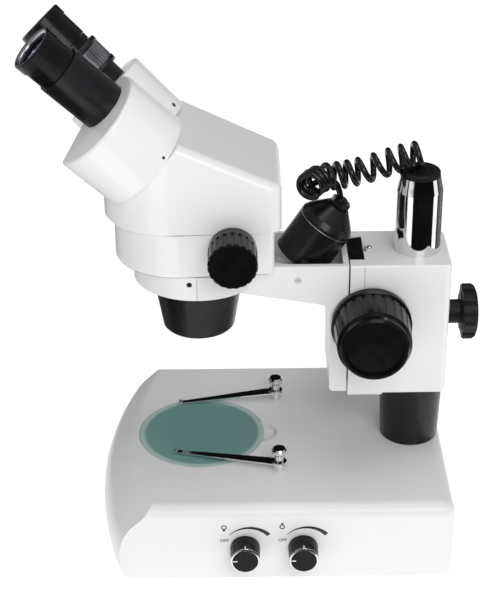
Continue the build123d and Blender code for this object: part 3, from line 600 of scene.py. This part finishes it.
def head_seam(name, bottom):
    """The dark line in the fine step round the lower casting: a round front and a back with cut corners."""
    radius, back = casting_high.y - SEAM_INSET, casting_high.x - SEAM_INSET
    half = CASTING_BACK_HALF - SEAM_INSET
    long_cut, short_cut = 4.0, 1.2
    steps = 60
    outline = []
    for i in range(steps + 1):
        turn = math.radians(90 + 180 * i / steps)
        outline.append((CASTING_ROUND_X + radius * math.cos(turn), radius * math.sin(turn)))
    corner = [(back - long_cut, -half), (back - short_cut, short_cut - half), (back, long_cut - half)]
    outline += corner + [(x, -y) for x, y in reversed(corner)]
    verts = [(x, y, z) for x, y in outline for z in (bottom, bottom + SEAM_HEIGHT)]
    count = len(outline)
    faces = [(2 * i, 2 * ((i + 1) % count), 2 * ((i + 1) % count) + 1, 2 * i + 1) for i in range(count)]
    return piece(name, verts, faces, groove_dark, "head")


head_seam("upper_seam_line", casting_high.z - 0.05 - SEAM_HEIGHT)
head_seam("lower_seam_line", arm_high.z + 0.05)


def drum_screw(side, down, turn, radius):
    """A small screw on a drum's round side, down its axis and turned about it from the level."""
    drum_radius = 37.0
    axis = Vector(JOINTS[f"{side}_eyepiece_slide"]["axis"]).normalized()
    level = axis.cross(Vector((0, 0, 1))).normalized()
    rise = level.cross(axis)
    spoke = level * math.cos(math.radians(turn)) + rise * math.sin(math.radians(turn))
    place = joint_place(f"{side}_drum_turn") - axis * down + spoke * drum_radius
    button(f"{side}_drum_screw", place, spoke, radius, 0.25, dark_steel, f"{side}_drum")


drum_screw("near", 42.15, 153.34, 1.1)
drum_screw("far", 40.14, 97.5, 1.6)


# ---------------------------------------------------------------- camera and lights
CAMERA_PLACE = (0.02605, -1.04767, 0.74071)
CAMERA_LENS = 97.95
YAW, PITCH, ROLL = math.radians(0.436), math.radians(28.385), math.radians(-0.412)
WORLD_STRENGTH = 0.38


def link_camera():
    """The camera looks along +Y, turned by the yaw, tipped down by the pitch and rolled."""
    forward = Vector((math.sin(YAW) * math.cos(PITCH), math.cos(YAW) * math.cos(PITCH), -math.sin(PITCH)))
    level_right = Vector((math.cos(YAW), -math.sin(YAW), 0))
    level_up = level_right.cross(forward)
    right = level_right * math.cos(ROLL) + level_up * math.sin(ROLL)
    up = level_up * math.cos(ROLL) - level_right * math.sin(ROLL)
    lens = bpy.data.cameras.new("camera")
    lens.lens = CAMERA_LENS
    lens.sensor_width = 36.0
    lens.clip_start = 0.02
    lens.clip_end = 50.0
    made = bpy.data.objects.new("camera", lens)
    bpy.context.scene.collection.objects.link(made)
    turned = Matrix((right, up, -forward)).transposed().to_4x4()
    made.matrix_world = Matrix.Translation(CAMERA_PLACE) @ turned
    return made


def panel(name, place, aim, size, power):
    """A rectangular softbox that points at a place."""
    light = bpy.data.lights.new(name, "AREA")
    light.shape = "RECTANGLE"
    light.size, light.size_y = size
    light.energy = power
    made = bpy.data.objects.new(name, light)
    bpy.context.scene.collection.objects.link(made)
    made.location = place
    made.rotation_mode = "QUATERNION"
    made.rotation_quaternion = (Vector(aim) - Vector(place)).to_track_quat("-Z", "Y")
    return made


bpy.context.scene.camera = link_camera()
panel("front_softbox", (0.55, -1.9, 1.55), (0.04, 0, 0.25), (1.4, 1.0), 21)
panel("top_softbox", (0.3, -0.1, 1.9), (0.04, 0, 0.15), (1.0, 0.9), 6)

world = bpy.data.worlds.new("studio")
bpy.context.scene.world = world
world.use_nodes = True
world.node_tree.nodes["Background"].inputs["Color"].default_value = (1.0, 1.0, 1.0, 1)
world.node_tree.nodes["Background"].inputs["Strength"].default_value = WORLD_STRENGTH
bpy.context.scene.view_settings.view_transform = "Standard"


# ---------------------------------------------------------------- floor and cards
FLOOR_HALF = 6
FLOOR_GLOW = 0.60
CARD_STEP = 4  # degrees
PILLAR_PLACE = (centre_of("pillar").x * MM, 0.0)


def set_piece(name, verts, faces, paint):
    """A flat piece of the studio that isn't part of the object."""
    mesh = bpy.data.meshes.new(name)
    mesh.from_pydata(verts, [], faces)
    mesh.materials.append(paint)
    made = bpy.data.objects.new(name, mesh)
    bpy.context.scene.collection.objects.link(made)
    return made


def card_finish(name, first, second, rough, specular):
    return finish_of(name, first, second, rough, patch=3, grain=200, strength=0.02, specular=specular)


floor_paint = card_finish("pale_floor", (0.86, 0.86, 0.86), (0.88, 0.88, 0.88), 0.6, specular=0.1)
glow = floor_paint.node_tree.nodes["Principled BSDF"]
glow.inputs["Emission Color"].default_value = (1, 1, 1, 1)
glow.inputs["Emission Strength"].default_value = FLOOR_GLOW
set_piece("floor", [(-FLOOR_HALF, -FLOOR_HALF, 0), (FLOOR_HALF, -FLOOR_HALF, 0), (FLOOR_HALF, FLOOR_HALF, 0),
                    (-FLOOR_HALF, FLOOR_HALF, 0)], QUAD, floor_paint)


def card(name, start, end, paint, radius=0.30, z0=0.0, z1=0.30, centre=PILLAR_PLACE):
    """An upright card bent round a centre, the pillar unless another is given. It shows only in reflections.
    Its angles run from -Y towards +X, in degrees."""
    steps = max(2, int((end - start) / CARD_STEP))
    verts, faces = [], []
    for i in range(steps + 1):
        turn = math.radians(start + (end - start) * i / steps)
        x, y = centre[0] + radius * math.sin(turn), centre[1] - radius * math.cos(turn)
        verts += [(x, y, z0), (x, y, z1)]
        if i:
            faces.append((2 * i - 2, 2 * i, 2 * i + 1, 2 * i - 1))
    made = set_piece(name, verts, faces, paint)
    made.visible_camera = False
    made.visible_diffuse = False
    made.visible_shadow = False
    made.visible_transmission = False


# Dark and grey cards give the chrome the bands that it would show in a room.
dark_paint = card_finish("dark_card", (0.004, 0.004, 0.004), (0.006, 0.006, 0.006), 0.9, specular=0.0)
for number, (start, end) in enumerate(((-96, -63), (-36, 66), (90, 99), (112, 117))):
    card(f"dark_card_{number}", start, end, dark_paint)
card("dark_back_card", 155, 215, dark_paint, radius=1.3, z0=0.35, z1=1.5, centre=(0.03, 0.0))
grey_paint = card_finish("grey_card", (0.16, 0.16, 0.165), (0.18, 0.18, 0.185), 0.9, specular=0.0)
for number, (start, end) in enumerate(((-140, -97), (99, 112), (118, 152))):
    card(f"grey_card_{number}", start, end, grey_paint)
